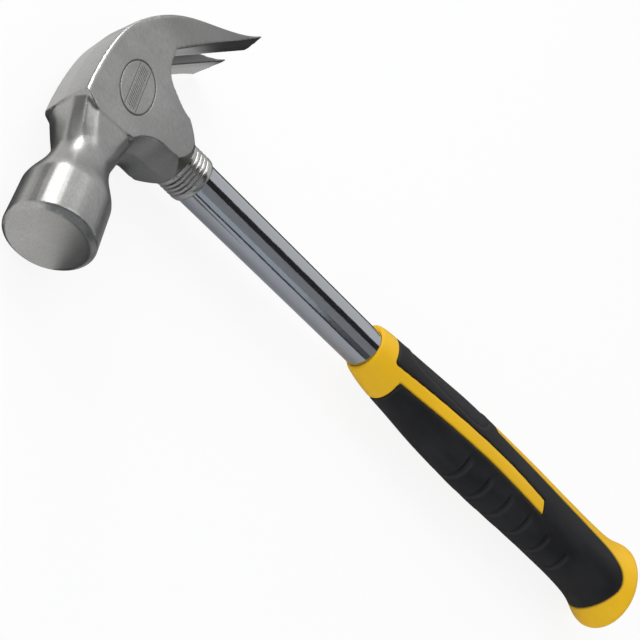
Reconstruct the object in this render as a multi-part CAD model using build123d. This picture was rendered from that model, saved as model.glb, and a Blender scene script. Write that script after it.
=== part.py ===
from build123d import *
import math
import os

# Claw hammer: a forged steel head on a chromed steel tube, with a ringed collar under the head
# and a grip moulded in two plastics. All sizes are in millimetres.
#
# Building frame: X runs along the shaft towards the head and is zero at the collar's lower edge,
# Y points towards the striking face, Z goes across the head. At the end everything is moved so
# that the origin is the centre of the bottom of the overall box, with the hammer lying on its side.

# Shaft tube
tube_r = 8.0                    # outer radius of the tube
tube_wall = 1.5                 # wall thickness of the tube
socket_depth = 30.0             # how far the tube enters the head
tube_end_gap = 1.0              # room between the tube's end and the bottom of the socket
bond_gap = 0.30                 # radial thickness of the adhesive in the socket
plug_clearance = 0.05           # radial gap round a plug inside the tube
top_plug_length = 34.0          # plug that stiffens the tube inside the head
end_plug_length = 12.0          # plug that closes the tube's lower end

# Ringed collar
collar_wall = 0.9               # thickness of the collar
collar_r = tube_r + collar_wall
collar_top = 7.5                # height at which the head takes over from the collar
collar_shoulder = 2.3           # length of the rounded shoulder under the collar
shoulder_steps = 6              # straight steps that make up that shoulder
collar_foot = 0.15              # height of the collar's blunt lower edge
collar_gap = 0.03               # radial gap between collar and tube
ring_count = 4                  # turned grooves
ring_pitch = 1.65               # distance between grooves
ring_depth = 0.40               # depth of a groove
ring_width = 0.70               # width of a groove at the surface

# Head, side outline
crown_x = 52.5                  # top of the head
crown_front_y = 14.7            # front end of the crown
claw_reach = 65.2               # distance of the claw tips behind the shaft axis
claw_tip_x = -1.6               # height of the claw tips
tip_edge = 0.8                  # thickness of the edge at the claw tips
ridge_rise = 1.3                # how far the forging line stands proud of the cheek outline
cheek_half = 10.3               # half the thickness across the cheeks
crown_share = 0.6               # share of that rise on the crown
crown_bevel = 0.8               # small bevel along the two edges of the crown
nose_share = 0.9                # height of the crown's blunt front, as a share of the crown height
nose_out = 0.9                  # how far that blunt front leans out beyond the cheek
tongue_step = 0.15              # step from the collar out to the head
tongue_flare = 5.8              # growth in radius of the cone that rounds the cheek's lower end
tongue_rise = 7.8               # height over which that cone opens
arch_x = 31.6                   # height at which the neck's underside starts
arch_y = 17.3                   # forward reach of the cheek

# Crown line from front to tip: share of the crown height, share of the claw reach
crown_line = [(0.997, -0.118), (0.983, 0.026), (0.957, 0.170), (0.912, 0.312), (0.817, 0.463),
              (0.655, 0.606), (0.435, 0.727), (0.218, 0.838), (0.062, 0.930)]
# Rear edge of the cheek from the claw's root down to the tongue: same shares
rear_line = [(0.549, 0.440), (0.533, 0.350), (0.510, 0.285), (0.478, 0.248), (0.413, 0.204),
             (0.349, 0.168), (0.278, 0.146)]
# Front edge of the cheek from the tongue up to the neck: share of the crown height, share of arch_y
front_line = [(0.278, 0.505), (0.349, 0.523), (0.419, 0.540), (0.459, 0.584), (0.510, 0.680),
              (0.562, 0.830)]

# Head, plan outline: share of the claw reach, half width in millimetres
claw_tip_half = 17.2
claw_plan = [(0.31, 10.35), (0.46, 11.6), (0.69, 14.7)]
claw_plan_start = 0.25          # share of the claw reach at which the claws start to spread
claw_spread = 0.45              # slope of the plan outline at the tips
tip_corner = 0.94               # share of the claw reach at the outer corners of the tips

# Nail slot
slot_tip_half = 3.4             # half width of the slot at the tips
slot_root_half = 1.3            # half width of the slot at its root
slot_root = 0.50                # share of the claw reach at the root
bevel_tip_half = 4.4            # half width of the bevelled mouth at the tips
bevel_root_half = 4.2           # half width of the bevelled mouth near the root
bevel_depth = 7.0               # depth of the bevel below the inner surface of the claws

# Neck and bell
poll_x = 39.5                   # height of the striking axis
waist_y = 30.5                  # where the neck is thinnest
waist_r = 9.5                   # radius at the waist
bell_r = 14.5                   # radius of the bell
bell_back_y = 46.0              # where the bell's straight side starts
face_y = 63.85                  # striking face
face_chamfer = 1.6              # length of the chamfer round the striking face
face_inset = 1.85               # how far that chamfer comes in
neck_start_y = 15.2             # where the faceted neck leaves the head
# Corners of the faceted neck: (Z, distance along X from the striking axis), above it and below it
neck_upper = [(4.2, 13.0), (9.0, 11.8), (10.3, 7.7)]
neck_lower = [(3.6, 11.6), (7.6, 10.2), (10.2, 6.4)]
neck_angles = (16, 45, 74)      # where the same corners lie round the waist, in degrees
flare_start = 4.2               # from the waist to where the bell's back starts to open
flare_rise = 0.6                # radius gained up to there
flare_curve = [(0.45, 0.44), (0.78, 0.82)]  # from there on: share of the run, share of the rise
bell_taper = 0.4                # how far the bell's back edge lies inside the bell's radius

# Engraved oval on one cheek
mark_x = 36.5                   # its centre
mark_y = -1.9
mark_long = 11.7                # half length along Y
mark_short = 7.3                # half width along X
mark_width = 0.6                # width and depth of the engraved line
mark_depth = 0.25

# Grip
grip_top = -97.0                # rim of the grip
butt_end = -269.2               # lower end of the grip
deep_share = 1.12               # half depth along Y as a share of the mean half width
wide_share = 0.90               # half width along Z as a share of the mean half width
soft_thickness = 2.6            # greatest depth of the soft plastic
soft_from = 1                   # first and last section that have a hard core inside the soft plastic
soft_to = 15
core_wall = 1.3                 # least wall of the hard plastic round the tube
core_gap = 0.03                 # radial gap between tube and grip
butt_floor = 8.0                # hard plastic under the tube's end
butt_round = 2.4                # rounding of the butt's edge
# Along the grip: share of its length, mean half width, shift of the centre along Y
grip_sections = [(0.000, 9.45, -0.70), (0.023, 10.35, -0.50), (0.058, 11.10, 0.00), (0.105, 11.70, 0.15),
                 (0.180, 12.60, 0.30), (0.261, 13.60, 0.45), (0.343, 14.20, 0.50), (0.424, 14.50, 0.60),
                 (0.505, 14.55, 0.40), (0.587, 14.45, 0.10), (0.668, 14.30, 0.00), (0.749, 14.25, 0.05),
                 (0.819, 14.30, 0.15), (0.871, 14.60, 0.35), (0.912, 15.20, 0.65), (0.944, 16.30, 0.95),
                 (0.972, 17.75, 1.20), (1.000, 18.45, 1.35)]

# Lines between the two plastics, seen from the side: (X, Y)
panel_top_rear = -105.8         # upper edge of the soft rear panel
panel_top_front = -111.5        # upper edge of the soft front panel
stripe_rear_edge = [(-108.0, 4.2), (-120.0, 3.5), (-142.0, 3.1), (-160.0, 2.6), (-182.0, 2.4),
                    (-201.2, 3.7)]
stripe_front_edge = [(-203.6, 9.0), (-186.0, 8.7), (-160.0, 8.4), (-134.0, 8.8), (-111.5, 8.8)]
spine_edge = [(-167.0, -5.6), (-182.0, -4.9), (-211.5, -4.0), (-242.6, -3.0), (-252.0, -2.3), (-257.0, 0.0),
              (-260.0, 4.0), (-260.5, 10.5), (-258.0, 15.0), (-256.5, 18.0)]
pad_edge = [(-114.0, -7.0), (-116.0, -3.6), (-130.0, -1.6), (-142.0, -0.6), (-153.0, 0.0), (-157.5, -2.2),
            (-160.0, -7.0)]
pad_depth = 0.4                 # depth of the label pad on the rear of the grip
groove_first = -157.5           # first finger groove
groove_pitch = 13.9             # distance between finger grooves
groove_count = 6
groove_width = 1.2              # width and depth of a finger groove
groove_depth = 0.6
groove_min_y = 11.5             # finger grooves stay on the front of the grip
far = 60.0                      # reach of cutting prisms beyond the part
over = 1.0                      # short overrun of a cut past the surface that it opens
flat = 0.01                     # edges nearer to a plane than this lie in it

socket_top = collar_top + socket_depth
tube_top = socket_top - tube_end_gap
bore_end = butt_end + butt_floor
grip_length = grip_top - butt_end


def prism(points, half):
    """Solid with a side outline in X and Y, reaching the same distance both ways along Z."""
    return extrude(make_face(Polyline(*points, close=True)), half, both=True)


def turned(points, axis):
    """Solid of revolution from an outline that touches the axis or encloses a ring."""
    return revolve(make_face(Polyline(*points, close=True)), axis)


def rod(radius, low, high):
    """Round bar along the shaft."""
    return Plane.YZ.offset(low) * extrude(Circle(radius), high - low)


def sleeve(outer, inner, low, high):
    return rod(outer, low, high) - rod(inner, low - over, high + over)


def head_outline(rise):
    """Side outline of head and claws. A rise above zero gives the outline at the forging line."""
    up = rise * crown_share
    crown = [(crown_x * a + up, -claw_reach * b) for a, b in crown_line]
    rear = [(crown_x * a, -claw_reach * b - rise) for a, b in rear_line]
    front = [(crown_x * a - up, arch_y * b + rise) for a, b in front_line]
    brow = (crown_x + up, crown_front_y)
    nose = [(arch_x - rise, arch_y + rise), (crown_x * nose_share, arch_y + nose_out), brow]
    tip = [(claw_tip_x + tip_edge, -claw_reach), (claw_tip_x, -claw_reach)]
    foot = Polyline(rear[-1], (collar_top, -collar_r), (collar_top, collar_r), front[0])
    claws = [Spline(brow, *crown, tip[0]), Polyline(*tip, rear[0]), Spline(*rear)]
    return make_face([*claws, foot, Spline(*front, nose[0]), Polyline(*nose)])


def claw_plan_face():
    """Plan outline of head and claws, seen along the shaft: local x is Y, local y is Z."""
    start = (far / 2, cheek_half)
    bend = (-claw_reach * claw_plan_start, cheek_half)
    curve = [(-claw_reach * share, width) for share, width in claw_plan]
    corner = (-claw_reach * tip_corner, claw_tip_half)
    tip = (-claw_reach - tip_edge, bevel_tip_half)
    side = Spline(bend, *curve, corner, tangents=[(-1, 0), (-1, claw_spread)])
    edges = [Line(start, bend), side, Line(corner, tip)]
    edges += [mirror(edge, Plane.XZ) for edge in edges]
    edges += [Line(tip, (tip[0], -tip[1])), Line(start, (start[0], -start[1]))]
    return make_face(edges)


def nail_slot():
    """Narrow slot through both claws, and the bevel that opens it towards the handle side."""
    root_y = -claw_reach * slot_root
    beyond = -claw_reach - bevel_depth
    plan = Polyline((beyond, slot_tip_half), (root_y, slot_root_half), (root_y, -slot_root_half),
                    (beyond, -slot_tip_half), close=True)
    narrow = Plane.YZ.offset(-far) * extrude(make_face(plan), 3 * far)
    end = Plane.YZ.offset(-far) * Pos(root_y, 0) * extrude(Circle(slot_root_half), 3 * far)
    tip = Vector(claw_tip_x, -claw_reach, 0)
    root = Vector(crown_x * rear_line[0][0], -claw_reach * rear_line[0][1], 0)
    along = (root - tip).normalized()
    length = (claw_reach + root_y) / along.Y
    sections = []
    for distance, mouth, narrow_half in ((-bevel_depth, bevel_tip_half, slot_tip_half),
                                         (length, bevel_root_half, slot_root_half)):
        slope = (mouth - narrow_half) / bevel_depth
        plane = Plane(origin=tip + along * distance, x_dir=(0, 0, 1), z_dir=along)
        inward = 1 if plane.y_dir.X > 0 else -1
        low = -bevel_depth * inward
        high = bevel_depth * inward
        wide = mouth + slope * bevel_depth
        outline = Polyline((wide, low), (narrow_half, high), (-narrow_half, high), (-wide, low), close=True)
        sections.append(plane * make_face(outline))
    return narrow + end + loft(sections, ruled=True)


def ring_of(upper, lower):
    """All corners of the faceted neck, in order, from those on one side."""
    side = upper + [(z, -x) for z, x in reversed(lower)]
    return side + [(-z, x) for z, x in reversed(side)]


def neck_section(y, corners):
    plane = Plane(origin=(poll_x, y, 0), x_dir=(0, 0, 1), z_dir=(0, 1, 0))
    up = 1 if plane.y_dir.X > 0 else -1
    return plane * make_face(Polyline(*[(z, x * up) for z, x in corners], close=True))


def faceted_neck():
    """Facets that run from the flat cheeks into the round waist."""
    waist = [(waist_r * math.sin(math.radians(a)), waist_r * math.cos(math.radians(a))) for a in neck_angles]
    sections = [neck_section(neck_start_y, ring_of(neck_upper, neck_lower)),
                neck_section(waist_y, ring_of(waist, waist))]
    return loft(sections, ruled=True)


def bell():
    """Round bell with its flared back, turned about the striking axis."""
    back_r = bell_r - bell_taper
    start = waist_y + flare_start
    low_r = waist_r + flare_rise
    curve = [(poll_x + waist_r, waist_y), (poll_x + low_r, start)]
    for run, rise in flare_curve:
        curve.append((poll_x + low_r + (back_r - low_r) * rise, start + (bell_back_y - start) * run))
    flare = Spline(*curve, (poll_x + back_r, bell_back_y))
    rim = Polyline((poll_x + back_r, bell_back_y), (poll_x + bell_r, face_y - face_chamfer),
                   (poll_x + bell_r - face_inset, face_y), (poll_x, face_y), (poll_x, waist_y),
                   (poll_x + waist_r, waist_y))
    return revolve(make_face([flare, rim]), Axis((poll_x, 0, 0), (0, 1, 0)))


def tongue_cutter():
    """What is taken off round the lower end of the cheeks so that they end as rounded tongues."""
    low, high = collar_top - over, collar_top + tongue_rise
    slope = tongue_flare / tongue_rise
    foot_r = collar_r + tongue_step
    wide = foot_r + tongue_flare
    block = prism([(low, -wide), (low, wide), (high, wide), (high, -wide)], wide)
    side = [(low, foot_r - slope * over), (high + over, wide + slope * over)]
    cone = turned([(low, 0), *side, (high + over, 0)], Axis.X)
    return block - cone


def make_head():
    mid = head_outline(ridge_rise)
    cheek = head_outline(0)
    plate = extrude(cheek, claw_tip_half * 1.2, both=True)
    ridge = loft([mid, Pos(0, 0, cheek_half) * cheek], ruled=True)
    solid = plate + ridge + mirror(ridge, Plane.XY)
    solid &= Plane.YZ.offset(-far) * extrude(claw_plan_face(), 3 * far)
    crown = [edge for edge in solid.edges() if abs(abs(edge.center().Z) - cheek_half) < flat
             and edge.center().X > crown_x * nose_share and edge.length > crown_front_y]
    solid = chamfer(crown, crown_bevel)
    solid -= tongue_cutter()
    solid += faceted_neck()
    solid += bell()
    solid -= nail_slot()
    solid -= rod(tube_r + bond_gap, collar_top - over, socket_top)
    oval = Ellipse(mark_short, mark_long) - Ellipse(mark_short - mark_width, mark_long - mark_width)
    groove = Pos(mark_x, mark_y, cheek_half) * extrude(oval, mark_depth, both=True)
    return solid - groove


def make_collar():
    """Ringed steel collar with a rounded lower shoulder."""
    inner = tube_r + collar_gap
    outline = [(-collar_shoulder, inner)]
    for step in range(shoulder_steps + 1):
        angle = math.pi / 2 * step / shoulder_steps
        outline.append((-collar_shoulder * math.cos(angle),
                        tube_r + collar_foot + (collar_wall - collar_foot) * math.sin(angle)))
    for ring in range(ring_count):
        centre = ring_pitch * (ring + 0.5)
        outline += [(centre - ring_width / 2, collar_r), (centre, collar_r - ring_depth),
                    (centre + ring_width / 2, collar_r)]
    outline += [(collar_top, collar_r), (collar_top, inner)]
    return turned(outline, Axis.X)


def grip_station(share, half, shift, depth):
    """Oval section of the grip, some depth below its outer surface, kept clear of the tube."""
    x = grip_top - grip_length * share
    least = tube_r + core_wall
    deep = max(half * deep_share - depth, least) if depth else half * deep_share
    wide = max(half * wide_share - depth, least) if depth else half * wide_share
    plane = Plane(origin=(x, shift, 0), x_dir=(0, 1, 0), z_dir=(-1, 0, 0))
    return plane * Ellipse(deep, wide)


def grip_inner(depth):
    """The stretch of the grip under the soft plastic, some depth below the outer surface."""
    return loft([grip_station(*station, depth) for station in grip_sections[soft_from:soft_to + 1]])


def make_grip():
    """Hard core and soft cover of the grip, split along the lines between the two plastics."""
    whole = loft([grip_station(*station, 0) for station in grip_sections])
    whole = fillet(whole.edges().sort_by(Axis.X)[0], butt_round)
    inside = grip_inner(soft_thickness)
    rear = -far
    front_corner = (panel_top_front, stripe_front_edge[-1][1])
    rim = prism([(-far, rear), (-far, far), (panel_top_front, far), front_corner, stripe_rear_edge[0],
                 (panel_top_rear, 0), (panel_top_rear, rear)], far)
    stripe = prism([(panel_top_rear, stripe_rear_edge[0][1]), *stripe_rear_edge, *stripe_front_edge,
                    (panel_top_rear, stripe_front_edge[-1][1])], far)
    below = butt_end - far
    spine = prism([(spine_edge[0][0], rear), *spine_edge, (spine_edge[-1][0], far), (below, far),
                   (below, rear)], far)
    bore = rod(tube_r + core_gap, bore_end, 0)
    hard = (whole & (rim + stripe + spine)) + (inside & whole) - bore
    soft = whole - rim - stripe - spine - inside - bore
    pad = prism([(pad_edge[0][0], rear), *pad_edge, (pad_edge[-1][0], rear)], far) - grip_inner(pad_depth)
    bands = None
    for groove in range(groove_count):
        centre = groove_first - groove_pitch * groove
        low, high = centre - groove_width / 2, centre + groove_width / 2
        band = prism([(low, groove_min_y), (low, far), (high, far), (high, groove_min_y)], far)
        bands = band if bands is None else bands + band
    return hard, soft - pad - (bands - grip_inner(groove_depth))


os.makedirs("parts", exist_ok=True)
hard_grip, soft_grip = make_grip()
plug_r = tube_r - tube_wall - plug_clearance
parts = {
    "head": make_head(),
    "socket_bond": sleeve(tube_r + bond_gap, tube_r, collar_top, tube_top),
    "neck_collar": make_collar(),
    "shaft_tube": sleeve(tube_r, tube_r - tube_wall, bore_end, tube_top),
    "tube_top_plug": rod(plug_r, tube_top - top_plug_length, tube_top),
    "tube_end_plug": rod(plug_r, bore_end, bore_end + end_plug_length),
    "grip_core": hard_grip,
    "soft_grip": soft_grip,
}
box = Compound(children=[Compound(list(part.solids())) for part in parts.values()]).bounding_box()
to_origin = Pos(-(box.min.X + box.max.X) / 2, -(box.min.Y + box.max.Y) / 2, -box.min.Z)
for name, part in parts.items():
    export_step(to_origin * part, f"parts/{name}.step")
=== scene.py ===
import math

import bpy
import numpy as np
from bpy.props import FloatProperty, FloatVectorProperty, IntProperty, PointerProperty
from mathutils import Matrix, Vector
from mathutils.bvhtree import BVHTree


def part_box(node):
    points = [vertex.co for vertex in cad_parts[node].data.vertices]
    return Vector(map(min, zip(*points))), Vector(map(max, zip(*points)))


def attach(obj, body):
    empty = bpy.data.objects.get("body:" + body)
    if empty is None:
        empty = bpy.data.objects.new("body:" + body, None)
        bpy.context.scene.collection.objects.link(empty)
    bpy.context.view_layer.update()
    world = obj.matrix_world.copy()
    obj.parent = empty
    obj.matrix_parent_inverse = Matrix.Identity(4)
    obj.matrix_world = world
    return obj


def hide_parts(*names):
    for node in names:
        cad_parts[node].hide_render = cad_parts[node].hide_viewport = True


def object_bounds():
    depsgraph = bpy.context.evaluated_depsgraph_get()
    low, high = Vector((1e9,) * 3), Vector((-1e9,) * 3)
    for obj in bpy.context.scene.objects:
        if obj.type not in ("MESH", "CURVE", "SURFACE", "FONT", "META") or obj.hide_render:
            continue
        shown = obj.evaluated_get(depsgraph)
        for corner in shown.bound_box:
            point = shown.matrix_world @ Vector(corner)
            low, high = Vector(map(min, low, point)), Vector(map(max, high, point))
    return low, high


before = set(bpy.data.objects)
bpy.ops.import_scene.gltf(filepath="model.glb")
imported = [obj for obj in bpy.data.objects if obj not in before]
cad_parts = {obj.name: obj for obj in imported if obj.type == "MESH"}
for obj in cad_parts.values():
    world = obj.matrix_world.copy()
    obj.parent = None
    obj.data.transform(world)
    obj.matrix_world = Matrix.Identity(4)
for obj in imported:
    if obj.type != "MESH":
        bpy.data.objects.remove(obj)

bl_info = {
    "name": "Claw Hammer",
    "version": (1, 0, 0),
    "blender": (4, 5, 0),
    "location": "3D View > Sidebar > Hammer",
    "description": "Builds a claw hammer with a steel head, a chromed tube and a two-colour moulded grip",
    "category": "Object",
}

MM = 0.001
CAD_BOX = [list(corner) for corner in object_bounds()]
COLLAR_LOW, COLLAR_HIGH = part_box("neck_collar")
TUBE_LOW, TUBE_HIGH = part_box("shaft_tube")
GRIP_LOW, GRIP_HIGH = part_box("grip_core")
COLLAR_HEIGHT = 7.5 * MM
# Everything is measured from the shaft's axis at the collar's lower edge: along X towards the head,
# along Y towards the striking face, along Z across the head.
COLLAR_MIDDLE = (COLLAR_LOW + COLLAR_HIGH) / 2
DATUM = Vector((COLLAR_HIGH.x - COLLAR_HEIGHT, COLLAR_MIDDLE.y, COLLAR_MIDDLE.z))
TUBE_R = (TUBE_HIGH.z - TUBE_LOW.z) / 2
COLLAR_R = (COLLAR_HIGH.z - COLLAR_LOW.z) / 2
CLEARANCE = 0.03 * MM


def length(name, description, default):
    return FloatProperty(name=name, description=description, default=default,
                         min=0, unit="LENGTH", precision=5)


def colour(name, description, default):
    return FloatVectorProperty(name=name, description=description, default=default,
                               size=3, min=0, max=1, subtype="COLOR")


def factor(name, description, default):
    return FloatProperty(name=name, description=description, default=default,
                         min=0, max=1, subtype="FACTOR")


def count(name, description, default):
    return IntProperty(name=name, description=description, default=default, min=0)


def brightness(name, description, default):
    return FloatProperty(name=name, description=description, default=default, min=0)


class HeadSettings(bpy.types.PropertyGroup):
    cell: length("Surface cell", "Size of the mesh cells on the head", 0.38 * MM)
    edge_passes: count("Edge passes", "How often the ground edges are eased", 4)
    facet_passes: count("Facet passes", "How often the neck's facets are eased", 9)
    waist_passes: count("Waist passes", "How often the waist is blended", 50)
    steel: colour("Steel", "Colour of the ground steel", (0.405, 0.40, 0.39))
    roughness: factor("Roughness", "Roughness of the ground steel", 0.27)
    mark_x: length("Mark height", "Distance of the engraved oval from the collar's lower edge", 36.5 * MM)
    mark_back: length("Mark offset", "Distance of the oval behind the shaft axis", 1.9 * MM)
    mark_long: length("Mark length", "Half length of the oval", 11.7 * MM)
    mark_short: length("Mark width", "Half width of the oval", 7.3 * MM)


class CollarSettings(bpy.types.PropertyGroup):
    rings: count("Grooves", "Turned grooves round the collar", 4)
    pitch: length("Pitch", "Distance between the grooves", 1.65 * MM)
    depth: length("Depth", "Depth of the grooves", 0.5 * MM)
    steel: colour("Steel", "Colour of the turned steel", (0.55, 0.54, 0.52))


class TubeSettings(bpy.types.PropertyGroup):
    wall: length("Wall", "Wall thickness of the tube", 1.5 * MM)
    chrome: colour("Chrome", "Colour of the chrome plate", (0.50, 0.52, 0.55))
    waviness: factor("Waviness", "How wavy the plated surface is", 0.5)


class GripSettings(bpy.types.PropertyGroup):
    cell: length("Surface cell", "Size of the mesh cells on the grip", 0.4 * MM)
    seam_depth: length("Seam depth", "Depth of the seam between the two plastics", 0.8 * MM)
    seam_half: length("Seam half width", "Half width of the seam", 0.75 * MM)
    grooves: count("Finger grooves", "Grooves on the front of the grip", 6)
    groove_first: length("First groove", "Distance of the first finger groove below the collar", 157.5 * MM)
    groove_pitch: length("Groove pitch", "Distance between finger grooves", 13.9 * MM)
    groove_depth: length("Groove depth", "Depth of a finger groove", 0.9 * MM)
    pad_depth: length("Pad depth", "Depth of the plain label pad", 0.25 * MM)
    hard: colour("Hard plastic", "Colour of the hard plastic", (0.86, 0.49, 0.004))
    soft: colour("Soft plastic", "Colour of the soft plastic", (0.012, 0.012, 0.013))


class InsideSettings(bpy.types.PropertyGroup):
    adhesive: colour("Adhesive", "Colour of the adhesive in the socket", (0.20, 0.19, 0.17))
    plug: colour("Plugs", "Colour of the plugs inside the tube", (0.35, 0.30, 0.24))


class StageSettings(bpy.types.PropertyGroup):
    floor: colour("Floor", "Colour of the floor", (0.90, 0.90, 0.90))
    dome: brightness("Dome", "Brightness of the sky", 0.72)
    lamps: brightness("Lamps", "Brightness of the lamps", 1.0)


# Shader maths

class Value:
    """A number or vector that varies over a surface. Arithmetic on it adds Math nodes."""

    def __init__(self, nodes, socket):
        self.nodes = nodes
        self.socket = socket

    def math(self, operation, *others):
        return self.nodes.add("ShaderNodeMath", {"operation": operation}, dict(enumerate((self, *others))))

    def __add__(self, other):
        return self.math("ADD", other)

    def __mul__(self, other):
        return self.math("MULTIPLY", other)

    def __sub__(self, other):
        return self.math("SUBTRACT", other)

    def __rsub__(self, other):
        return self.nodes.add("ShaderNodeMath", {"operation": "SUBTRACT"}, {0: other, 1: self})

    def __truediv__(self, other):
        return self.math("DIVIDE", other)

    def __pow__(self, other):
        return self.math("POWER", other)

    def __abs__(self):
        return self.math("ABSOLUTE")

    __radd__ = __add__
    __rmul__ = __mul__

    def most(self, other):
        return self.math("MAXIMUM", other)

    def step(self, low, high):
        """0 below low, 1 above high, and smooth in between. Low may be above high."""
        sockets = {"Value": self, "From Min": low, "From Max": high}
        return self.nodes.add("ShaderNodeMapRange", {"interpolation_type": "SMOOTHSTEP"}, sockets)


class Nodes:
    """A node tree, and the one way in which nodes are added to it."""

    def __init__(self, tree):
        self.tree = tree

    def add(self, kind, settings=None, sockets=None, output=0):
        made = self.tree.nodes.new(kind)
        for name, setting in (settings or {}).items():
            setattr(made, name, setting)
        for key, value in (sockets or {}).items():
            self.feed(made.inputs[key], value)
        return Value(self, made.outputs[output])

    def feed(self, socket, value):
        if isinstance(value, Value):
            self.tree.links.new(value.socket, socket)
        elif hasattr(socket.default_value, "__len__") and len(value) < len(socket.default_value):
            socket.default_value = (*value, 1)
        else:
            socket.default_value = value

    def point(self):
        return self.add("ShaderNodeTexCoord", output="Object")

    def place(self):
        """Distances from the datum along X, Y and Z, in millimetres."""
        local = self.add("ShaderNodeVectorMath", {"operation": "SUBTRACT"}, {0: self.point(), 1: DATUM})
        scaled = self.add("ShaderNodeVectorMath", {"operation": "SCALE"}, {0: local, "Scale": 1 / MM})
        return [self.add("ShaderNodeSeparateXYZ", sockets={0: scaled}, output=axis) for axis in "XYZ"]

    def noise(self, size, stretch=(1, 1, 1), detail=2.0, roughness=0.5, turn=0):
        """Noise from 0 to 1 whose spots are about size millimetres across, times the stretch on each axis.
        The axes are turned about Z by some degrees first."""
        scale = Vector([1 / (size * MM * part) for part in stretch])
        point = self.point()
        if turn:
            sockets = {"Vector": point, "Angle": math.radians(turn)}
            point = self.add("ShaderNodeVectorRotate", {"rotation_type": "Z_AXIS"}, sockets)
        scaled = self.add("ShaderNodeVectorMath", {"operation": "MULTIPLY"}, {0: point, 1: scale})
        sockets = {"Vector": scaled, "Scale": 1.0, "Detail": detail, "Roughness": roughness}
        return self.add("ShaderNodeTexNoise", sockets=sockets)

    def stored(self, name):
        """A number stored on the mesh's points."""
        return self.add("ShaderNodeAttribute", {"attribute_name": name}, output=2)

    def mix(self, mask, first, second):
        """First colour where the mask is 0, second where it is 1."""
        return self.add("ShaderNodeMix", {"data_type": "RGBA"}, {0: mask, 6: first, 7: second}, output=2)

    def bump(self, height, depth, below=None):
        """Relief whose height of 1 stands depth millimetres proud, laid over another relief."""
        sockets = {"Height": height, "Distance": depth * MM, "Strength": 1.0}
        if below:
            sockets["Normal"] = below
        return self.add("ShaderNodeBump", sockets=sockets)


class Paint(Nodes):
    """A material built round one Principled shader."""

    def __init__(self, name):
        self.material = bpy.data.materials.new(name)
        self.material.use_nodes = True
        super().__init__(self.material.node_tree)
        self.surface = self.tree.nodes["Principled BSDF"]

    def set(self, **sockets):
        for name, value in sockets.items():
            self.feed(self.surface.inputs[name.replace("_", " ")], value)
        return self.material


def shade(tint, amount):
    return tuple(min(part * amount, 1.0) for part in tint)


def engraved_mark(paint, settings):
    """1 on the lines of the oval mark on the upper cheek: a ring, and a hatched band across it."""
    x, y, z = paint.place()
    across = (y + settings.mark_back / MM) / (settings.mark_long / MM)
    up = (x - settings.mark_x / MM) / (settings.mark_short / MM)
    radius = (across * across + up * up) ** 0.5
    ring = abs(radius - 0.965).step(0.045, 0.015)
    inside = radius.step(0.95, 0.90)
    band = abs(abs(up) - 0.33).step(0.05, 0.01) * inside
    hatch = ((x * 0.6 + y) * 5.2).math("SINE").step(0.0, 0.8)
    strokes = hatch * abs(up).step(0.26, 0.21) * abs(across).step(0.84, 0.78)
    return ring.most(band * 0.6).most(strokes * 0.7) * z.step(9.0, 10.0)


def ground_steel(settings):
    """Satin ground steel of the head, turned on the bell, with painted shade on and between the claws, near
    the collar and in creases.
    """
    paint = Paint("ground steel")
    x, y, z = paint.place()
    cloud = paint.noise(14, detail=3.0)
    grain = paint.noise(0.30, stretch=(7, 1, 1), detail=3.0, turn=51)
    mottle = paint.noise(0.8, detail=3.0)
    fine = paint.noise(0.16, detail=1.0)
    turned = paint.noise(0.22, stretch=(60, 1, 60), detail=2.0)
    on_bell = y.step(26, 34)
    sharp = paint.add("ShaderNodeNewGeometry", output="Pointiness")
    worn = sharp.step(0.515, 0.56)
    # Painted shade in creases and hollows, where the surface is concave.
    sunk = sharp.step(0.485, 0.44)
    mark = engraved_mark(paint, settings)
    # Painted shade: darker between the claws, near the collar and towards the claws' tips.
    shade_between_claws = abs(z).step(11.5, 7.5) * y.step(-14, -22)
    collar_shade = x.step(30, 8) * y.step(16, 8) * 0.5
    claw_shade = y.step(-22, -52) * 0.7
    shaded = collar_shade.most(claw_shade).most(shade_between_claws)

    base = paint.mix(cloud.step(0.3, 0.7), shade(settings.steel, 0.90), shade(settings.steel, 1.06))
    base = paint.mix(grain.step(0.35, 0.7) * 0.55, base, shade(settings.steel, 0.66))
    base = paint.mix(mottle.step(0.45, 0.75) * 0.3, base, shade(settings.steel, 0.72))
    # Painted shade from the shade masks above.
    base = paint.mix(shaded, base, shade(settings.steel, 0.5))
    base = paint.mix(worn * 0.6, base, shade(settings.steel, 1.15))
    # Painted shade in the creases.
    base = paint.mix(sunk * 0.5, base, shade(settings.steel, 0.5))
    base = paint.mix(mark * 0.85, base, shade(settings.steel, 0.22))
    polish = settings.roughness + cloud * 0.06 + grain * 0.10 + mark * 0.25 + worn * 0.16
    satin = (grain * 0.6 + fine * 0.2 + mottle * 0.4) * (1 - on_bell * 0.5)
    relief = paint.bump(satin, 0.016)
    relief = paint.bump(turned * on_bell, 0.007, relief)
    relief = paint.bump(1 - mark, 0.10, relief)
    return paint.set(Base_Color=base, Roughness=polish, Metallic=1.0, Normal=relief)


def turned_steel(settings):
    """Bright steel with fine marks round the shaft, and painted shade in the collar's grooves and at its
    foot by the tube.
    """
    paint = Paint("turned steel")
    _, y, z = paint.place()
    lines = paint.noise(0.14, stretch=(1, 40, 40), detail=2.0)
    patches = paint.noise(2.5, detail=2.0)
    out = (y * y + z * z) ** 0.5
    # Painted shade where the surface lies below the collar's full radius: in its grooves and at its foot by
    # the tube.
    sunk = out.step(COLLAR_R / MM - 0.12, COLLAR_R / MM - 0.5)
    base = paint.mix(sunk * 0.5, settings.steel, shade(settings.steel, 0.4))
    base = paint.mix(lines.step(0.4, 0.7) * 0.3, base, shade(settings.steel, 0.7))
    relief = paint.bump(lines, 0.008)
    polish = 0.20 + patches * 0.12 + sunk * 0.15
    return paint.set(Base_Color=base, Roughness=polish, Metallic=1.0, Normal=relief)


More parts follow.
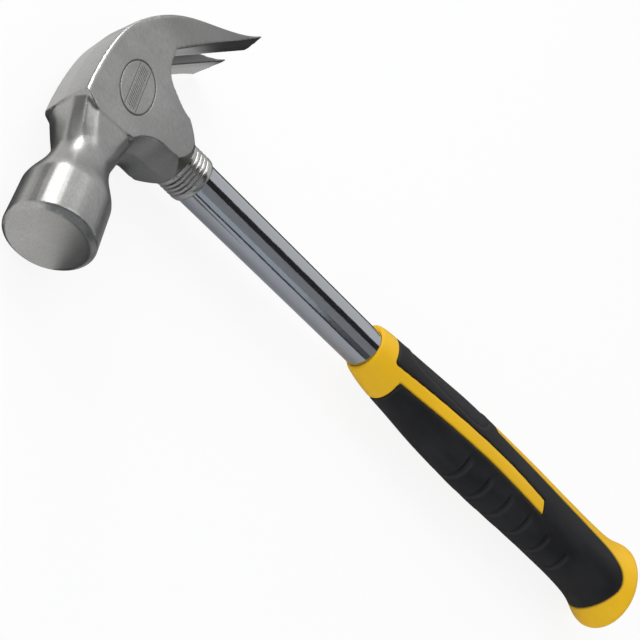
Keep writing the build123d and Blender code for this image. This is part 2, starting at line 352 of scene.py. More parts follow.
def chrome_plate(settings):
    """Bright plate over drawn tube, with the slight waviness and hairlines of handled chrome."""
    paint = Paint("chrome plate")
    swell = paint.noise(9, stretch=(2.5, 1, 1), detail=1.0)
    ripple = paint.noise(2.2, stretch=(1.6, 1, 1), detail=2.0)
    hairs = paint.noise(0.25, stretch=(40, 1, 1), detail=2.0)
    specks = paint.noise(0.5, detail=3.0)
    base = paint.mix(specks.step(0.62, 0.72) * 0.3, settings.chrome, shade(settings.chrome, 0.75))
    relief = paint.bump(swell * settings.waviness, 0.12)
    relief = paint.bump(ripple, 0.022, relief)
    relief = paint.bump(hairs, 0.0012, relief)
    polish = 0.07 + hairs * 0.06 + specks.step(0.55, 0.7) * 0.06
    return paint.set(Base_Color=base, Roughness=polish, Metallic=1.0, Normal=relief)


def hard_plastic(settings):
    """Semi-gloss yellow plastic with faint flow marks."""
    paint = Paint("yellow plastic")
    flow = paint.noise(16, stretch=(3, 1, 1), detail=3.0)
    skin = paint.noise(0.45, detail=2.0)
    scuffs = paint.noise(1.3, stretch=(5, 1, 1), detail=3.0)
    scuffed = scuffs.step(0.64, 0.74)
    base = paint.mix(flow.step(0.3, 0.7), shade(settings.hard, 0.93), shade(settings.hard, 1.05))
    base = paint.mix(scuffed * 0.15, base, shade(settings.hard, 0.7))
    base = paint.mix(paint.stored("seam") * 0.85, base, shade(settings.hard, 0.12))
    relief = paint.bump(skin, 0.008)
    relief = paint.bump(flow, 0.08, relief)
    return paint.set(Base_Color=base, Roughness=0.34 + skin * 0.08 + scuffed * 0.12, Normal=relief,
                     Specular_IOR_Level=0.3)


def soft_plastic(settings):
    """Matt black rubber-like plastic with a fine spark-eroded skin, painted shade in its grooves and a
    painted highlight on their lips.
    """
    paint = Paint("black soft plastic")
    skin = paint.noise(0.32, detail=3.0, roughness=0.6)
    rubbed = paint.noise(9, stretch=(2.5, 1, 1), detail=4.0)
    dust = paint.noise(0.9, detail=4.0)
    sharp = paint.add("ShaderNodeNewGeometry", output="Pointiness")
    worn = sharp.step(0.51, 0.55)
    base = paint.mix(rubbed.step(0.35, 0.7), shade(settings.soft, 0.8), shade(settings.soft, 1.45))
    base = paint.mix(dust.step(0.62, 0.78) * 0.5, base, shade(settings.soft, 2.2))
    base = paint.mix(worn * 0.5, base, shade(settings.soft, 2.6))
    # Painted shade in the finger grooves and along the pad's edge, and a painted highlight on the lips
    # beside the grooves and on the pad's raised frame.
    groove = paint.stored("groove")
    base = paint.mix(groove.step(0.05, 0.7), base, shade(settings.soft, 0.3))
    # Painted highlight on the lips.
    base = paint.mix(groove.step(-0.05, -0.6), base, shade(settings.soft, 3.6))
    base = paint.mix(paint.stored("seam") * 0.7, base, shade(settings.soft, 0.3))
    relief = paint.bump(skin, 0.022)
    return paint.set(Base_Color=base, Roughness=0.44 + rubbed * 0.14 + skin * 0.08, Normal=relief,
                     Specular_IOR_Level=0.25)


def cast_stuff(name, tint, size):
    """Plain filler or moulding with mottled colour, for the pieces inside."""
    paint = Paint(name)
    spots = paint.noise(size, detail=4.0)
    base = paint.mix(spots.step(0.3, 0.7), shade(tint, 0.8), shade(tint, 1.15))
    return paint.set(Base_Color=base, Roughness=0.55 + spots * 0.2, Normal=paint.bump(spots, 0.05))


# Mesh building

def new_piece(name, points, faces, material, slot, *replaced):
    mesh = bpy.data.meshes.new(name)
    mesh.from_pydata(points, [], faces)
    return finish_piece(name, mesh, material, slot, *replaced)


def finish_piece(name, mesh, material, slot, *replaced):
    mesh.materials.clear()
    mesh.materials.append(material)
    mesh.shade_smooth()
    piece = bpy.data.objects.new(name, mesh)
    bpy.context.scene.collection.objects.link(piece)
    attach(piece, "root")
    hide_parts(*replaced)
    return piece


TURNED_SEGMENTS = 160
TUBE_EASE = 0.3 * MM  # rounding of the tube's ends
COLLAR_STEPS = 160
VALLEY_CURVE = 2.2  # above 1, so that the grooves are narrow and the rings between them round


def turned_on_shaft(outline, segments):
    """Points and faces of a closed outline, given as (X, radius) pairs, turned about the shaft's axis."""
    corners = len(outline)
    points = []
    for segment in range(segments):
        angle = 2 * math.pi * segment / segments
        for x, radius in outline:
            points.append((x, DATUM.y + radius * math.cos(angle), DATUM.z + radius * math.sin(angle)))
    faces = []
    for segment in range(segments):
        here, there = segment * corners, (segment + 1) % segments * corners
        for place in range(corners):
            after = (place + 1) % corners
            faces.append((here + place, here + after, there + after, there + place))
    return points, faces


def eased(mesh, changes):
    """The mesh after some modifiers, each given as its type and its settings."""
    carrier = bpy.data.objects.new("carrier", mesh)
    bpy.context.scene.collection.objects.link(carrier)
    for kind, settings in changes:
        modifier = carrier.modifiers.new(kind.lower(), kind)
        for name, setting in settings.items():
            setattr(modifier, name, setting)
    graph = bpy.context.evaluated_depsgraph_get()
    result = bpy.data.meshes.new_from_object(carrier.evaluated_get(graph))
    bpy.data.objects.remove(carrier)
    return result


def positions(mesh):
    found = np.empty(len(mesh.vertices) * 3)
    mesh.vertices.foreach_get("co", found)
    return found.reshape(-1, 3)


def smoothstep(low, high, value):
    share = np.clip((value - low) / (high - low), 0, 1)
    return share * share * (3 - 2 * share)


def blend(mesh, passes, weight):
    """Eases a mesh towards the mean of each point's neighbours, as far as the weight of the point says."""
    found = positions(mesh)
    pairs = np.empty(len(mesh.edges) * 2, dtype=np.int64)
    mesh.edges.foreach_get("vertices", pairs)
    pairs = pairs.reshape(-1, 2)
    ends = np.concatenate([pairs[:, 0], pairs[:, 1]])
    others = np.concatenate([pairs[:, 1], pairs[:, 0]])
    neighbours = np.bincount(ends, minlength=len(found))[:, None]
    for _ in range(passes):
        sums = np.stack([np.bincount(ends, found[others, axis], len(found)) for axis in range(3)], axis=1)
        found += weight[:, None] * 0.5 * (sums / neighbours - found)
    mesh.vertices.foreach_set("co", found.ravel())
    mesh.update()


def blend_neck(mesh, facet_passes, waist_passes):
    """Eases the neck's facets a little, and runs them softly into the waist and the bell's back.
    Each weight rises and falls again between two pairs of distances in front of the shaft's axis."""
    along = (positions(mesh)[:, 1] - DATUM.y) / MM
    blend(mesh, facet_passes, smoothstep(15.5, 18.0, along) * smoothstep(46.0, 40.0, along))
    blend(mesh, waist_passes, smoothstep(24.0, 30.0, along) * smoothstep(44.0, 38.0, along))


class HAMMER_OT_head(bpy.types.Operator):
    """Makes the forged head, with eased edges and a softly blended neck"""
    bl_idname = "hammer.head"
    bl_label = "Head"

    def execute(self, context):
        settings = context.scene.hammer_head
        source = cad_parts["head"].data.copy()
        remesh = ("REMESH", {"mode": "VOXEL", "voxel_size": settings.cell})
        smooth = ("SMOOTH", {"factor": 0.5, "iterations": settings.edge_passes})
        mesh = eased(source, [remesh, smooth])
        blend_neck(mesh, settings.facet_passes, settings.waist_passes)
        finish_piece("forged_head", mesh, ground_steel(settings), "forged_steel", "head")
        return {"FINISHED"}


class HAMMER_OT_collar(bpy.types.Operator):
    """Makes the ringed collar under the head"""
    bl_idname = "hammer.collar"
    bl_label = "Collar"

    def execute(self, context):
        settings = context.scene.hammer_collar
        low, high = COLLAR_LOW.x - DATUM.x, COLLAR_HEIGHT
        bore_r = TUBE_R + CLEARANCE
        foot_r = TUBE_R + 4 * CLEARANCE
        outline = [(low, bore_r), (low, foot_r)]
        for x in np.linspace(low, high, COLLAR_STEPS)[1:]:
            rise = min((x - low) / -low, 1)
            radius = foot_r + (COLLAR_R - foot_r) * math.sqrt(1 - (1 - rise) ** 2)
            nearest = min(abs(x - settings.pitch * (ring + 0.5)) for ring in range(settings.rings))
            valley = max(0, 1 - nearest / (settings.pitch / 2))
            outline.append((x, radius - settings.depth * valley ** VALLEY_CURVE))
        outline.append((high, bore_r))
        placed = [(DATUM.x + x, radius) for x, radius in outline]
        points, faces = turned_on_shaft(placed, TURNED_SEGMENTS)
        new_piece("ringed_collar", points, faces, turned_steel(settings), "turned_steel", "neck_collar")
        return {"FINISHED"}


class HAMMER_OT_tube(bpy.types.Operator):
    """Makes the chromed tube"""
    bl_idname = "hammer.tube"
    bl_label = "Tube"

    def execute(self, context):
        settings = context.scene.hammer_tube
        inner = TUBE_R - settings.wall
        turns = np.linspace(0, math.pi / 2, 5)
        bend = [(TUBE_EASE * (1 - math.sin(a)), TUBE_EASE * (1 - math.cos(a))) for a in turns]
        outline = [(TUBE_LOW.x + along, TUBE_R - drop) for along, drop in reversed(bend)]
        straight = np.linspace(TUBE_LOW.x + TUBE_EASE, TUBE_HIGH.x - TUBE_EASE, 40)[1:-1]
        outline += [(x, TUBE_R) for x in straight]
        outline += [(TUBE_HIGH.x - along, TUBE_R - drop) for along, drop in bend]
        outline += [(TUBE_HIGH.x, inner), (TUBE_LOW.x, inner)]
        points, faces = turned_on_shaft(outline, TURNED_SEGMENTS)
        new_piece("chromed_tube", points, faces, chrome_plate(settings), "chromed_tube", "shaft_tube")
        return {"FINISHED"}


class HAMMER_OT_inside(bpy.types.Operator):
    """Gives the adhesive and the two plugs their materials"""
    bl_idname = "hammer.inside"
    bl_label = "Inside pieces"

    def execute(self, context):
        settings = context.scene.hammer_inside
        adhesive = cast_stuff("adhesive", settings.adhesive, 0.8)
        plug = cast_stuff("moulded plug", settings.plug, 2.0)
        for node, material in (("socket_bond", adhesive), ("tube_top_plug", plug), ("tube_end_plug", plug)):
            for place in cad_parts[node].material_slots:
                place.material = material
        return {"FINISHED"}


# Grip: lines between the two plastics, seen from the side, in millimetres from the datum
RIM_REAR_X = -105.8
RIM_FRONT_X = -111.5
STRIPE_REAR = [(-100.0, 4.2), (-108.0, 4.1), (-124.0, 3.4), (-142.0, 3.0), (-162.0, 2.6), (-182.0, 2.7),
               (-201.2, 3.7)]
STRIPE_FRONT = [(-203.6, 9.0), (-182.0, 8.6), (-160.0, 8.4), (-134.0, 8.6), (-100.0, 8.8)]
SPINE = [(-168.0, -7.2), (-182.0, -6.3), (-211.5, -5.4), (-236.0, -4.4), (-249.0, -2.9), (-256.0, 0.2),
         (-259.6, 4.6), (-260.4, 10.0), (-258.6, 15.0), (-256.0, 20.0)]
PAD = [(-114.0, -7.0), (-116.5, -3.6), (-130.0, -1.6), (-142.0, -0.6), (-152.0, -0.2), (-157.5, -2.4),
       (-160.0, -7.0)]
# Ends of the outlines well outside the grip: behind and ahead of it, and below the butt
BEHIND = -40.0
AHEAD = 40.0
BELOW = -300.0
ABOVE_SPINE = -167.0
BELOW_SPINE = -256.0
RIM_STEP_Y = 6.0
RIM_CORNER = 1.6
GROOVE_BOW = 2.6
PAD_FRAME = 0.10
BORE_GAP = 0.04
SEAM_LEVEL = 0.001
FLANGE_SHARE = 0.92
# The grip's oval: its depth along Y and its width along Z, as shares of its half size
DEEP_SHARE = 1.12
WIDE_SHARE = 0.90


def rounded_line(corners, steps=8):
    """A smooth line through all the given corners."""
    line = np.array(corners)
    padded = np.concatenate([[2 * line[0] - line[1]], line, [2 * line[-1] - line[-2]]])
    ends = []
    for before, start, end, after in zip(padded, padded[1:], padded[2:], padded[3:]):
        for step in range(steps):
            t = step / steps
            bend = (2 * before - 5 * start + 4 * end - after) * t ** 2
            twist = (3 * start - before - 3 * end + after) * t ** 3
            ends.append(tuple((2 * start + (end - before) * t + bend + twist) / 2))
    return ends + [corners[-1]]


def inside_distance(outline, x, y):
    """Distance to a closed outline in the side view: above zero inside it, below zero outside."""
    distance = np.full(x.shape, np.inf)
    crossings = np.zeros(x.shape, dtype=int)
    for (ax, ay), (bx, by) in zip(outline, outline[1:] + outline[:1]):
        dx, dy = bx - ax, by - ay
        share = np.clip(((x - ax) * dx + (y - ay) * dy) / (dx * dx + dy * dy), 0, 1)
        distance = np.minimum(distance, np.hypot(x - ax - dx * share, y - ay - dy * share))
        straddles = (ay > y) != (by > y)
        with np.errstate(divide="ignore", invalid="ignore"):
            meets = x < ax + dx * (y - ay) / dy
        crossings += straddles & meets
    return np.where(crossings % 2 == 1, distance, -distance)


def joined(first, second, radius):
    """Greater of two distances, with the inner corner between the two shapes rounded."""
    overlap = np.maximum(radius - np.abs(first - second), 0) / radius
    return np.maximum(first, second) + overlap * overlap * radius / 4


def bump_at(distance, centre, width):
    """A rounded ridge of height 1 where the distance is at the centre, about twice the width across."""
    return np.exp(-((distance - centre) / width) ** 2)


class GripForm:
    """The grip's outer form: half widths and shift along X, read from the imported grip."""

    def __init__(self):
        trees = [self.tree(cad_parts[node].data) for node in ("grip_core", "soft_grip")]
        ends = [0.02, 0.1, 0.25, 0.45, 0.7, 1.0, 1.4]
        low, high = GRIP_LOW.x / MM, GRIP_HIGH.x / MM
        self.x = np.concatenate([low + np.array(ends), np.arange(low + 2, high - 0.3, 1.0), [high - 0.05]])
        front = np.array([self.reach(trees, x, 1) for x in self.x])
        wide = np.array([self.reach(trees, x, 2) for x in self.x])
        self.half = wide / WIDE_SHARE
        shift = front - self.half * DEEP_SHARE
        self.shift = np.array([np.median(shift[max(i - 4, 0):i + 5]) for i in range(len(shift))])
        self.shift = np.convolve(np.pad(self.shift, 3, mode="edge"), np.full(7, 1 / 7), mode="valid")

    @staticmethod
    def tree(mesh):
        return BVHTree.FromPolygons([v.co for v in mesh.vertices], [p.vertices for p in mesh.polygons])

    @staticmethod
    def reach(trees, x, axis):
        """How far the grip reaches from the shaft's axis at x, towards +Y or +Z, in millimetres."""
        start = Vector((x * MM, DATUM.y, DATUM.z))
        start[axis] += 100 * MM
        towards = Vector((0, 0, 0))
        towards[axis] = -1
        hits = [tree.ray_cast(start, towards)[0] for tree in trees]
        return max((hit[axis] - DATUM[axis]) / MM for hit in hits if hit)

    def at(self, x):
        return np.interp(x, self.x, self.half), np.interp(x, self.x, self.shift)


def grip_rows(cell):
    """Rows of the grip's skin from the bore over the rim and down to the middle of the butt: X in the
    frame's millimetres, and the share of the way out to the skin from the bore or the middle."""
    low, high = GRIP_LOW.x / MM, GRIP_HIGH.x / MM
    rim, lip = 1.3, 0.2
    rows = [(high - 4.0, 0.0, "bore"), (high - 0.5, 0.0, "bore")]
    for angle in np.linspace(0.3, 1.57, 4):
        rows.append((high - lip * (1 - math.sin(angle)), 0.12 * (1 - math.cos(angle)), "bore"))
    for angle in np.linspace(0, 1.5, 9):
        rows.append((high - rim * (1 - math.cos(angle)), 0.45 + 0.55 * math.sin(angle), "bore"))
    rows += [(x, 1.0, "bore") for x in np.arange(high - rim, low + 2.2, -cell)]
    edge = (2.0, 1.7, 1.4, 1.1, 0.85, 0.62, 0.42, 0.26, 0.14, 0.05)
    rows += [(low + step, 1.0, "middle") for step in edge]
    rows += [(low + 0.02, math.cos(angle), "middle") for angle in np.linspace(0.2, math.pi / 2, 22)]
    return rows


def grip_relief(settings, x, y, turn, hard):
    """Depth of the relief in millimetres: seams, finger grooves and the label pad. Also gives the painted
    light of the grooves and the pad: painted shade above zero, in a groove and along the pad's edge, and a
    painted highlight below zero, on the lip beside a groove and on the pad's raised frame."""
    seam = np.maximum(1 - np.abs(hard) / (settings.seam_half / MM), 0)
    depth = settings.seam_depth / MM * seam ** 2
    on_front = smoothstep(11.0, 13.6, y) * smoothstep(-0.3, -1.2, hard)
    bow = GROOVE_BOW * np.minimum(np.abs(turn), 1.2) ** 2
    painted_groove_light = np.zeros(x.shape)
    for groove in range(settings.grooves):
        below = -(settings.groove_first + settings.groove_pitch * groove) / MM - x + bow
        cut = np.where(below > 0, np.exp(-below / GROOVE_BOW), smoothstep(-0.55, 0, below))
        depth += on_front * settings.groove_depth / MM * cut
        # Painted shade in the groove, and a painted highlight on the lip below it.
        painted_groove_light += on_front * (bump_at(below, -0.2, 0.75) - 0.3 * bump_at(below, 2.4, 1.1))
    pad = inside_distance([(PAD[0][0], BEHIND), *rounded_line(PAD), (PAD[-1][0], BEHIND)], x, y)
    depth += settings.pad_depth / MM * smoothstep(-0.35, 0.35, pad)
    depth -= PAD_FRAME * np.maximum(1 - np.abs(pad + 1.0) / 0.7, 0) ** 2
    # Painted shade along the pad's edge, and a painted highlight on its raised frame.
    painted_groove_light += 0.9 * bump_at(pad, 0, 0.6) - 0.45 * bump_at(pad, -1.1, 0.45)
    return depth, painted_groove_light


def hard_distance(x, y):
    """Distance in the side view to the edge of the hard plastic: above zero inside it."""
    stripe = rounded_line(STRIPE_REAR) + rounded_line(STRIPE_FRONT)
    rim_rear = np.where(y < RIM_STEP_Y, x - RIM_REAR_X, -AHEAD)
    rim_edge = RIM_FRONT_X + (RIM_REAR_X - RIM_FRONT_X) * smoothstep(9.5, 3.5, y)
    rim = np.maximum(rim_rear, x - rim_edge)
    ends = [(BELOW_SPINE, AHEAD), (BELOW, AHEAD), (BELOW, BEHIND)]
    spine = [(ABOVE_SPINE, BEHIND), *rounded_line(SPINE), *ends]
    hard = joined(rim, inside_distance(stripe, x, y), RIM_CORNER)
    return np.maximum(hard, inside_distance(spine, x, y))


def grip_skin(settings):
    """The grip's skin as a grid of rows and columns: its X, Y and Z in the frame's millimetres, and for
    each point how far into the hard plastic it lies, and the painted shade in its grooves and along the
    pad's edge, above zero, and the painted highlight beside them, below zero."""
    form = GripForm()
    cell = settings.cell / MM
    rows = grip_rows(cell)
    columns = 8 * round(2 * math.pi * form.half.mean() / cell / 8)
    row_x, share = (np.array([row[part] for row in rows])[:, None] for part in (0, 1))
    bore_r = TUBE_R / MM + BORE_GAP
    bore = np.array([bore_r if row[2] == "bore" else 0.0 for row in rows])[:, None]
    half, shift = form.at(row_x)
    deep, wide = half * DEEP_SHARE, half * WIDE_SHARE

    x = np.repeat(row_x, columns, axis=1)
    turn = np.repeat(2 * math.pi * np.arange(columns)[None, :] / columns, len(rows), axis=0)
    y = shift + deep * np.cos(turn)
    z = wide * np.sin(turn)
    from_datum = x - DATUM.x / MM
    hard = hard_distance(from_datum, y)
    from_front = (turn + math.pi) % (2 * math.pi) - math.pi
    relief, groove = grip_relief(settings, from_datum, y, from_front, hard)
    slope = np.hypot(np.cos(turn) / deep, np.sin(turn) / wide)
    sunk = relief * smoothstep(0.9, 1.0, share)
    y = y - sunk * np.cos(turn) / deep / slope
    z = z - sunk * np.sin(turn) / wide / slope

    centre_y = np.where(bore > 0, 0, shift)
    out = np.hypot(y - centre_y, z)
    inner_y = centre_y + (y - centre_y) / out * bore
    inner_z = z / out * bore
    y = inner_y + (y - inner_y) * share
    z = inner_z + (z - inner_z) * share
    return x, y + DATUM.y / MM, z + DATUM.z / MM, hard, groove


def grid_triangles(rows, columns):
    """Triangles of a grid whose last column meets its first."""
    index = np.arange(rows * columns).reshape(rows, columns)
    right = np.roll(index, -1, axis=1)
    a, b, c, d = index[:-1], right[:-1], right[1:], index[1:]
    halves = [np.stack(corners, axis=2).reshape(-1, 3) for corners in ((a, d, b), (b, d, c))]
    return np.concatenate(halves)


def sides_of(triangles):
    """The sides of some triangles, each from one corner to the next."""
    return np.concatenate([triangles[:, [0, 1]], triangles[:, [1, 2]], triangles[:, [2, 0]]])


def snapped(points, triangles, value):
    """Moves the nearest points onto the line where the value passes zero. Returns points and values."""
    sides = sides_of(triangles)
    crossed = sides[value[sides[:, 0]] * value[sides[:, 1]] < 0]
    start, end = crossed[:, 0], crossed[:, 1]
    share = value[start] / (value[start] - value[end])
    near = np.where(share < 0.5, start, end)
    crossing = points[start] + (points[end] - points[start]) * share[:, None]
    nearest_last = np.argsort(-np.minimum(share, 1 - share))
    moved, levelled = points.copy(), value.copy()
    moved[near[nearest_last]] = crossing[nearest_last]
    levelled[near] = 0
    return moved, levelled


def flanged(points, triangles, on_seam):
    """Adds a wall that runs inwards from the open border, where both ends of a side are on the seam.
    Returns all points, all triangles, and the points from which the wall starts."""
    sides = sides_of(triangles)
    keys = sides[:, 0] * len(points) + sides[:, 1]
    back = sides[:, 1] * len(points) + sides[:, 0]
    border = sides[~np.isin(keys, back)]
    border = border[on_seam[border].all(axis=1)]
    rim, place = np.unique(border, return_inverse=True)
    place = place.reshape(-1, 2) + len(points)
    deeper = points[rim].copy()
    axis = np.array([DATUM.y, DATUM.z]) / MM
    deeper[:, 1:] = axis + (deeper[:, 1:] - axis) * FLANGE_SHARE
    walls = [np.stack([border[:, 1], border[:, 0], place[:, 0]], axis=1),
             np.stack([border[:, 1], place[:, 0], place[:, 1]], axis=1)]
    return np.concatenate([points, deeper]), np.concatenate([triangles, *walls]), rim


class HAMMER_OT_grip(bpy.types.Operator):
    """Makes the hard core and the soft cover of the grip, with their seams, grooves and label pad"""
    bl_idname = "hammer.grip"
    bl_label = "Grip"

    def execute(self, context):
        settings = context.scene.hammer_grip
        x, y, z, hard, groove = grip_skin(settings)
        triangles = grid_triangles(*x.shape)
        points = np.stack([x, y, z], axis=2).reshape(-1, 3)
        # The groove field carries the painted shade and highlight of the grooves and the pad's edge, read
        # by the black plastic.
        fields = {"seam": bump_at(hard, 0, 0.38).reshape(-1), "groove": groove.reshape(-1)}
        points, level = snapped(points, triangles, hard.reshape(-1))
        is_hard = level[triangles].sum(axis=1) >= 0
        parts = (("grip_hard", is_hard, hard_plastic(settings), "hard_yellow", "grip_core"),
                 ("grip_soft", ~is_hard, soft_plastic(settings), "soft_black", "soft_grip"))
        for name, chosen, material, slot, node in parts:
            used, packed = np.unique(triangles[chosen], return_inverse=True)
            on_seam = level[used] <= SEAM_LEVEL if name == "grip_hard" else level[used] < np.inf
            own, faces, rim = flanged(points[used], packed.reshape(-1, 3), on_seam)
            piece = new_piece(name, (own * MM).tolist(), faces.tolist(), material, slot, node)
            for field, amounts in fields.items():
                stored = piece.data.attributes.new(field, "FLOAT", "POINT")
                stored.data.foreach_set("value", np.concatenate([amounts[used], amounts[used][rim]]))
        return {"FINISHED"}


# Stage

# The camera looks at the view's centre from this azimuth and elevation, and is then turned about its
# own axis; angles in degrees, the distance in metres and the lens in millimetres
VIEW_CENTRE = DATUM + Vector((-72.470, 5.796, 0)) * MM
VIEW_ANGLES = (50.731, 34.494, 68.974)
VIEW_DISTANCE = 0.531563
VIEW_LENS = 84.375


def look_from(azimuth, elevation, turn):
    """Direction from a target to a camera or lamp that looks at it, and its rotation; angles in degrees."""
    azimuth, elevation = math.radians(azimuth), math.radians(elevation)
    level = math.cos(elevation)
    out = Vector((level * math.cos(azimuth), level * math.sin(azimuth), math.sin(elevation)))
    return out, out.to_track_quat("Z", "Y").to_matrix() @ Matrix.Rotation(math.radians(turn), 3, "Z")


def add_camera():
    data = bpy.data.cameras.new("camera")
    data.sensor_width = 36
    data.lens = VIEW_LENS
    data.clip_start = 0.01
    camera = bpy.data.objects.new("camera", data)
    bpy.context.scene.collection.objects.link(camera)
    out, rotation = look_from(*VIEW_ANGLES)
    camera.matrix_world = Matrix.Translation(VIEW_CENTRE + out * VIEW_DISTANCE) @ rotation.to_4x4()
    bpy.context.scene.camera = camera


def add_lamp(name, azimuth, elevation, turn, size, power, tint=(1, 1, 1)):
    """Rectangular lamp a metre from the view's centre, turned about its own axis; angles in degrees."""
    data = bpy.data.lights.new(name, "AREA")
    data.shape = "RECTANGLE"
    data.size, data.size_y = size
    data.energy = power
    data.color = tint
    lamp = bpy.data.objects.new(name, data)
    bpy.context.scene.collection.objects.link(lamp)
    out, rotation = look_from(azimuth, elevation, turn)
    lamp.matrix_world = Matrix.Translation(VIEW_CENTRE + out) @ rotation.to_4x4()
    lamp.visible_camera = False


def add_screen(name, points, faces, tone):
    """Dull grey screen that only the polished surfaces see."""
    paint = Paint(name)
    weave = paint.noise(30, detail=3.0)
    tint = (tone, tone, tone * 1.03)
    material = paint.set(Base_Color=paint.mix(weave, shade(tint, 0.85), tint), Roughness=1.0)
    mesh = bpy.data.meshes.new(name)
    mesh.from_pydata(points, [], faces)
    mesh.materials.append(material)
    screen = bpy.data.objects.new(name, mesh)
    bpy.context.scene.collection.objects.link(screen)
    screen.visible_camera = False
    screen.visible_diffuse = False
    screen.visible_shadow = False


def add_arch(name, low, high, tone):
    """Long screen beside the hammer, from one angle over the floor to another, in degrees."""
    distance, reach, steps = 1.2, 2.0, 12
    points = []
    for angle in np.linspace(math.radians(low), math.radians(high), steps + 1):
        y, z = math.cos(angle) * distance, math.sin(angle) * distance
        points += [VIEW_CENTRE + Vector((-reach, y, z)), VIEW_CENTRE + Vector((reach, y, z))]
    add_screen(name, points, [(2 * i, 2 * i + 1, 2 * i + 3, 2 * i + 2) for i in range(steps)], tone)


def add_card(name, low, high, tone):
    """Card lying on the floor, between two corners in millimetres from the datum."""
    z = CAD_BOX[0][2] + 0.3 * MM
    corners = [(low[0], low[1]), (high[0], low[1]), (high[0], high[1]), (low[0], high[1])]
    points = [(DATUM.x + x * MM, DATUM.y + y * MM, z) for x, y in corners]
    add_screen(name, points, [(0, 1, 2, 3)], tone)


def add_wall(name, azimuth, width, height, tone):
    """Upright screen far from the hammer; azimuth in degrees, width and height in metres."""
    distance = 2.5
    out, rotation = look_from(azimuth, 0, 0)
    foot = DATUM + out * distance
    side = rotation @ Vector((width / 2, 0, 0))
    rise = Vector((0, 0, height))
    points = [foot - side, foot + side, foot + side + rise, foot - side + rise]
    add_screen(name, points, [(0, 1, 2, 3)], tone)


def white_to_viewer(nodes, surface, shaded, strength):
    """Mixes in a plain white where the surface is seen straight or mirrored, so that shadows stay faint."""
    path = "ShaderNodeLightPath"
    seen = nodes.add(path, output="Is Camera Ray")
    for ray in ("Is Glossy Ray", "Is Transmission Ray"):
        seen = seen.most(nodes.add(path, output=ray))
    white = nodes.add("ShaderNodeEmission", sockets={"Color": (1, 1, 1), "Strength": 1.0})
    mixed = nodes.add("ShaderNodeMixShader", sockets={0: seen * strength, 1: shaded, 2: white})
    nodes.feed(surface, mixed)


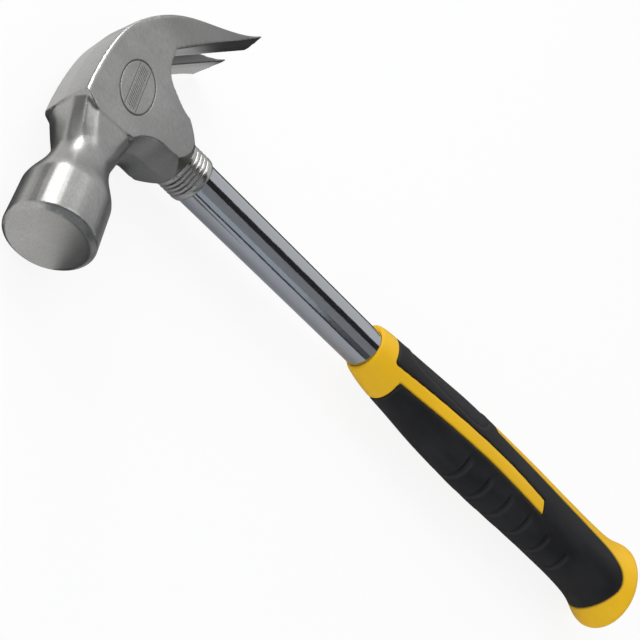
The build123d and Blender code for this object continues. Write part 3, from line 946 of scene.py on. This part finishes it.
class HAMMER_OT_stage(bpy.types.Operator):
    """Sets the floor, the light and the camera"""
    bl_idname = "hammer.stage"
    bl_label = "Stage"

    def execute(self, context):
        settings = context.scene.hammer_stage
        scene = context.scene
        scene.view_settings.view_transform = "Standard"
        add_camera()
        self.floor(settings)
        self.sky(scene, settings)
        self.screens()
        self.lamps(settings.lamps)
        return {"FINISHED"}

    @staticmethod
    def screens():
        """What the polished metal mirrors: bands beside the hammer, walls at its ends, cards under it."""
        add_arch("line screen", 0.5, 8, 0.04)
        add_arch("low screen", 8, 34, 0.11)
        add_arch("grey screen", 34, 76, 0.38)
        add_arch("black screen", 76, 107, 0.03)
        add_wall("rear screen", -146, 1.9, 0.55, 0.05)
        add_wall("butt screen", 176, 1.7, 0.95, 0.04)
        add_wall("top screen", -40, 1.9, 0.40, 0.06)
        add_card("tube card", (-1500, -35), (14, 64), 0.62)
        add_card("side card", (-1500, 64), (-60, 1500), 0.62)
        add_card("rear card", (-1500, -1500), (-12, -35), 0.06)
        add_card("top card", (100, -1500), (1500, 20), 0.10)
        add_card("neck card", (14, 10), (68, 64), 0.10)
        add_card("face card", (-60, 64), (24, 400), 0.15)

    @staticmethod
    def lamps(lamps):
        add_lamp("bell lamp", -41, 20, -55.4, (0.17, 0.8), 5.0 * lamps)
        add_lamp("key", -60, 62, 0, (0.6, 0.4), 1.2 * lamps)
        add_lamp("rim lamp", 46, 5, 0, (0.5, 0.12), 0.45 * lamps)
        add_lamp("strip", 92, 21, 0, (1.13, 0.42), 0.67 * lamps, tint=(0.82, 0.92, 1))

    @staticmethod
    def floor(settings):
        reach = 6.0
        low = CAD_BOX[0][2]
        mesh = bpy.data.meshes.new("floor")
        corners = [(-reach, -reach, low), (reach, -reach, low), (reach, reach, low), (-reach, reach, low)]
        mesh.from_pydata(corners, [], [(0, 1, 2, 3)])
        paint = Paint("floor paper")
        tooth = paint.noise(1.5, detail=3.0)
        pale = paint.mix(tooth, shade(settings.floor, 0.98), settings.floor)
        mesh.materials.append(paint.set(Base_Color=pale, Roughness=0.9, Specular_IOR_Level=0.1))
        output = paint.tree.nodes["Material Output"]
        shaded = Value(paint, paint.surface.outputs[0])
        white_to_viewer(paint, output.inputs["Surface"], shaded, strength=0.88)
        floor = bpy.data.objects.new("floor", mesh)
        bpy.context.scene.collection.objects.link(floor)

    @staticmethod
    def sky(scene, settings):
        world = bpy.data.worlds.new("sky")
        scene.world = world
        world.use_nodes = True
        nodes = Nodes(world.node_tree)
        plain = world.node_tree.nodes["Background"]
        plain.inputs["Color"].default_value = (0.97, 0.985, 1, 1)
        plain.inputs["Strength"].default_value = settings.dome
        seen = nodes.add("ShaderNodeLightPath", output="Is Camera Ray")
        white = nodes.add("ShaderNodeBackground", sockets={"Color": (1, 1, 1), "Strength": 1.0})
        dome = Value(nodes, plain.outputs[0])
        mixed = nodes.add("ShaderNodeMixShader", sockets={0: seen, 1: dome, 2: white})
        nodes.feed(world.node_tree.nodes["World Output"].inputs["Surface"], mixed)


class HAMMER_PT_panel(bpy.types.Panel):
    """Lists the hammer's settings and the buttons that make its pieces"""
    bl_idname = "HAMMER_PT_panel"
    bl_label = "Claw Hammer"
    bl_space_type = "VIEW_3D"
    bl_region_type = "UI"
    bl_category = "Hammer"

    def draw(self, context):
        for name, (group, operator) in SECTIONS.items():
            box = self.layout.box()
            settings = getattr(context.scene, name)
            for prop in group.__annotations__:
                box.prop(settings, prop)
            box.operator(operator.bl_idname)


SECTIONS = {
    "hammer_stage": (StageSettings, HAMMER_OT_stage),
    "hammer_inside": (InsideSettings, HAMMER_OT_inside),
    "hammer_tube": (TubeSettings, HAMMER_OT_tube),
    "hammer_collar": (CollarSettings, HAMMER_OT_collar),
    "hammer_head": (HeadSettings, HAMMER_OT_head),
    "hammer_grip": (GripSettings, HAMMER_OT_grip),
}


def register():
    for name, (group, operator) in SECTIONS.items():
        bpy.utils.register_class(group)
        bpy.utils.register_class(operator)
        setattr(bpy.types.Scene, name, PointerProperty(type=group))
    bpy.utils.register_class(HAMMER_PT_panel)


def unregister():
    bpy.utils.unregister_class(HAMMER_PT_panel)
    for name, (group, operator) in reversed(SECTIONS.items()):
        delattr(bpy.types.Scene, name)
        bpy.utils.unregister_class(operator)
        bpy.utils.unregister_class(group)


def main():
    register()
    bpy.ops.hammer.stage()
    bpy.ops.hammer.inside()
    bpy.ops.hammer.tube()
    bpy.ops.hammer.collar()
    bpy.ops.hammer.head()
    bpy.ops.hammer.grip()


if __name__ == "__main__":
    main()
